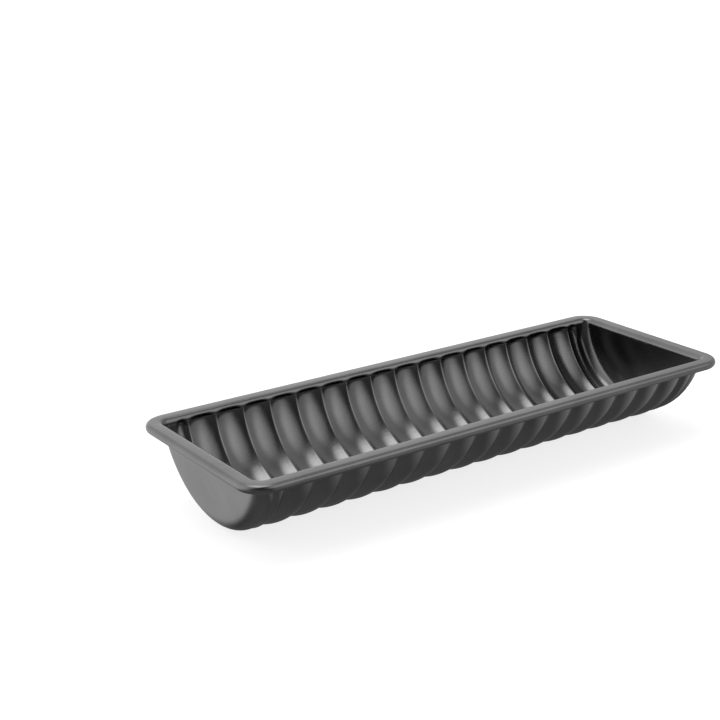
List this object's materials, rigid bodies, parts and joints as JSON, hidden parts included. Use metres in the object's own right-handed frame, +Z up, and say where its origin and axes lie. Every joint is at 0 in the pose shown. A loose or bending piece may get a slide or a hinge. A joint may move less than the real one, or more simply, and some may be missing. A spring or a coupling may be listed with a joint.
{
  "type": "half-round loaf tray",
  "caption": "Long half-round baking tray with ribs across its trough, flat end walls, a flat flange and a rolled rim.",
  "frame": {"origin": "under the middle of the tray, level with the crests of the ribs that it rests on", "axes": "+X along the tray, +Y across it, +Z up out of the trough"},
  "size_m": [0.3, 0.109, 0.0408],
  "materials": {
    "coated_steel": "satin dark grey non-stick coating on steel sheet",
    "wire_steel": "drawn steel wire"
  },
  "bodies": {
    "root": {"pan_shell": "coated_steel", "rim_wire": "wire_steel"}
  },
  "joints": []
}
